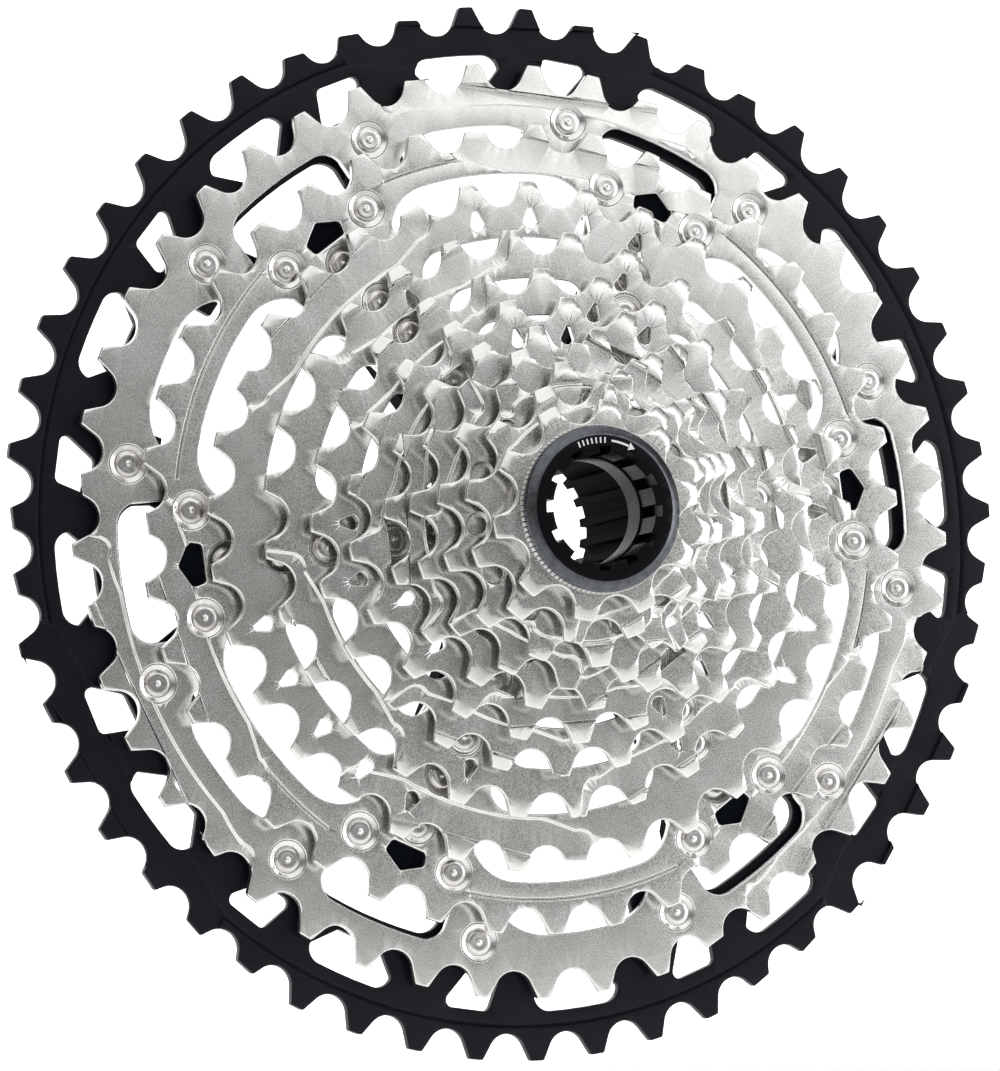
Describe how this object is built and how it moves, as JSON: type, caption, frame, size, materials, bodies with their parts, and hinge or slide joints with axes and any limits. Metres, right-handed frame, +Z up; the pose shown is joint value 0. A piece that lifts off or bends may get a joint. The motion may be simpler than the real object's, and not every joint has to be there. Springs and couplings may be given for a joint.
{
  "type": "bicycle cassette sprocket",
  "caption": "Stack of toothed chain plates on a splined spider, held on a bicycle freehub by a threaded lockring.",
  "frame": {"origin": "centre of the rear face of the splined hub, where the cassette seats on the freehub", "axes": "+Y along the axle towards the wheel, -Y towards the small plates and lockring, +Z up"},
  "size_m": [0.2084, 0.0484, 0.209],
  "materials": {
    "black_alloy": "black anodised, satin",
    "plated_steel": "blasted satin nickel plate",
    "rivet_steel": "smooth turned steel",
    "washer_steel": "flat rolled steel",
    "spacer_resin": "fine matt moulding"
  },
  "bodies": {
    "cluster": {"sprocket_51t": "black_alloy", "spider": "black_alloy", "sprocket_45t": "plated_steel", "sprocket_39t": "plated_steel", "sprocket_33t": "plated_steel", "sprocket_28t": "plated_steel", "sprocket_24t": "plated_steel", "sprocket_21t": "plated_steel", "sprocket_18t": "plated_steel", "sprocket_16t": "plated_steel", "rivets_45t": "rivet_steel", "rivets_39t": "rivet_steel", "rivets_39t_inner": "rivet_steel", "rivets_33t": "rivet_steel", "rivets_28t": "rivet_steel", "rivets_24t": "rivet_steel", "rivets_21t": "rivet_steel", "rivets_18t": "rivet_steel", "rivets_16t": "rivet_steel"},
    "spacer_14t": {"spacer_14t": "spacer_resin"},
    "sprocket_14t": {"sprocket_14t": "plated_steel"},
    "spacer_12t": {"spacer_12t": "spacer_resin"},
    "sprocket_12t": {"sprocket_12t": "plated_steel"},
    "sprocket_10t": {"sprocket_10t": "plated_steel"},
    "lockring_washer": {"lockring_washer": "washer_steel"},
    "lockring": {"lockring": "black_alloy"}
  },
  "joints": [
    {"name": "spacer_14t_pull", "type": "slide", "parent": "cluster", "child": "spacer_14t", "axis": [0, -1, 0], "range_m": [0, 0.02]},
    {"name": "sprocket_14t_pull", "type": "slide", "parent": "spacer_14t", "child": "sprocket_14t", "axis": [0, -1, 0], "range_m": [0, 0.02]},
    {"name": "spacer_12t_pull", "type": "slide", "parent": "sprocket_14t", "child": "spacer_12t", "axis": [0, -1, 0], "range_m": [0, 0.02]},
    {"name": "sprocket_12t_pull", "type": "slide", "parent": "spacer_12t", "child": "sprocket_12t", "axis": [0, -1, 0], "range_m": [0, 0.02]},
    {"name": "sprocket_10t_pull", "type": "slide", "parent": "sprocket_12t", "child": "sprocket_10t", "axis": [0, -1, 0], "range_m": [0, 0.02]},
    {"name": "lockring_lift", "type": "slide", "parent": "sprocket_10t", "child": "lockring_washer", "axis": [0, -1, 0], "range_m": [0, 0.006]},
    {"name": "lockring_turn", "type": "hinge", "parent": "lockring_washer", "child": "lockring", "pos_m": [0, -0.046, 0], "axis": [0, -1, 0], "range_deg": [0, 2160]}
  ],
  "couplings": [
    {"joint": "lockring_lift", "follows": "lockring_turn", "m_per_rad": 0.00015915}
  ]
}
